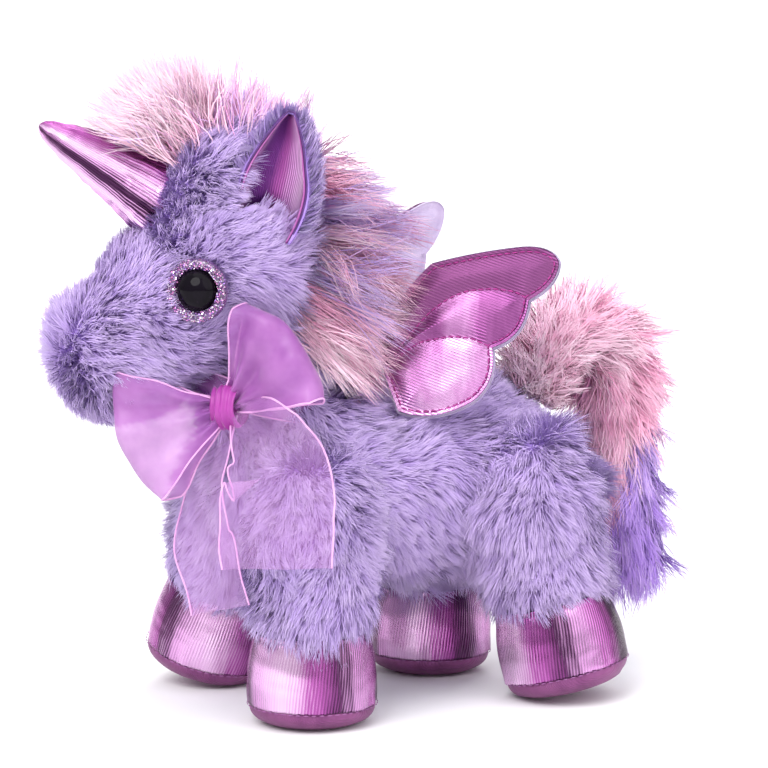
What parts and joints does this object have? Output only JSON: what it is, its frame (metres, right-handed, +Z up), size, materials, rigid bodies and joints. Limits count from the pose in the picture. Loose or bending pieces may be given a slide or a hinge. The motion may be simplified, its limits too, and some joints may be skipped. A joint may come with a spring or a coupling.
{
  "type": "plush unicorn",
  "caption": "Standing plush unicorn with foil horn, ears, wings and hooves, long-pile mane and tail, glitter eyes and a ribbon bow.",
  "frame": {"origin": "middle of the ground under the toy, at the middle of its bounding box", "axes": "+Z up, the unicorn faces -Y, +X is its left side, longest along Y from horn tip to tail"},
  "size_m": [0.114, 0.2192, 0.203],
  "materials": {
    "plush": "short lavender pile, matt with a soft sheen",
    "long_pile": "long combed pile, pink to purple",
    "foil": "metallic foil-printed ribbed fabric, pink and mauve",
    "sole": "smooth satin-metallic fabric, mauve",
    "felt": "pale lavender felt",
    "fibre": "white polyester fibre filling",
    "organza": "sheer magenta-lilac ribbon with satin edges",
    "eye": "glossy black dome",
    "glitter": "purple plastic filled with pink and silver glitter",
    "washer": "plain white plastic"
  },
  "bodies": {
    "root": {"body_skin": "plush", "body_stuffing": "fibre", "front_left_leg_skin": "plush", "front_left_leg_stuffing": "fibre", "front_left_hoof_wall": "foil", "front_left_hoof_sole": "sole", "front_right_leg_skin": "plush", "front_right_leg_stuffing": "fibre", "front_right_hoof_wall": "foil", "front_right_hoof_sole": "sole", "hind_left_leg_skin": "plush", "hind_left_leg_stuffing": "fibre", "hind_left_hoof_wall": "foil", "hind_left_hoof_sole": "sole", "hind_right_leg_skin": "plush", "hind_right_leg_stuffing": "fibre", "hind_right_hoof_wall": "foil", "hind_right_hoof_sole": "sole", "head_skin": "plush", "head_stuffing": "fibre", "left_eye_pupil": "eye", "left_eye_rim": "glitter", "left_eye_washer": "washer", "right_eye_pupil": "eye", "right_eye_rim": "glitter", "right_eye_washer": "washer", "horn_cover": "foil", "horn_stuffing": "fibre", "forelock": "long_pile", "mane": "long_pile", "neck_ribbon": "organza", "bow_knot": "organza", "bow_upper_loop": "organza", "bow_lower_loop": "organza", "bow_left_tail": "organza", "bow_right_tail": "organza"},
    "left_wing": {"left_wing_front": "foil", "left_wing_batting": "fibre", "left_wing_back": "felt"},
    "right_wing": {"right_wing_front": "foil", "right_wing_batting": "fibre", "right_wing_back": "felt"},
    "left_ear": {"left_ear_back": "plush", "left_ear_lining": "foil"},
    "right_ear": {"right_ear_back": "plush", "right_ear_lining": "foil"},
    "tail": {"tail_plume": "long_pile", "tail_core": "felt"}
  },
  "joints": [
    {"name": "left_wing_flap", "type": "hinge", "parent": "root", "child": "left_wing", "pos_m": [0.02115, -0.01069, 0.10162], "axis": [0.4359, 0.1596, -0.8857], "range_deg": [0, 45], "stiffness_Nm_per_rad": 0.004},
    {"name": "right_wing_flap", "type": "hinge", "parent": "root", "child": "right_wing", "pos_m": [-0.01574, -0.00988, 0.10175], "axis": [0.3336, -0.4636, 0.8208], "range_deg": [0, 45], "stiffness_Nm_per_rad": 0.004},
    {"name": "left_ear_fold", "type": "hinge", "parent": "root", "child": "left_ear", "pos_m": [0.02663, -0.052, 0.16077], "axis": [0.6104, 0.7548, -0.2402], "range_deg": [-15, 20], "stiffness_Nm_per_rad": 0.01},
    {"name": "right_ear_fold", "type": "hinge", "parent": "root", "child": "right_ear", "pos_m": [-0.02701, -0.03763, 0.16077], "axis": [0.1512, -0.9589, 0.2402], "range_deg": [-15, 20], "stiffness_Nm_per_rad": 0.01},
    {"name": "tail_swing", "type": "hinge", "parent": "root", "child": "tail", "pos_m": [0.00259, 0.05155, 0.09], "axis": [1, 0, 0], "range_deg": [0, 35], "stiffness_Nm_per_rad": 0.02}
  ]
}
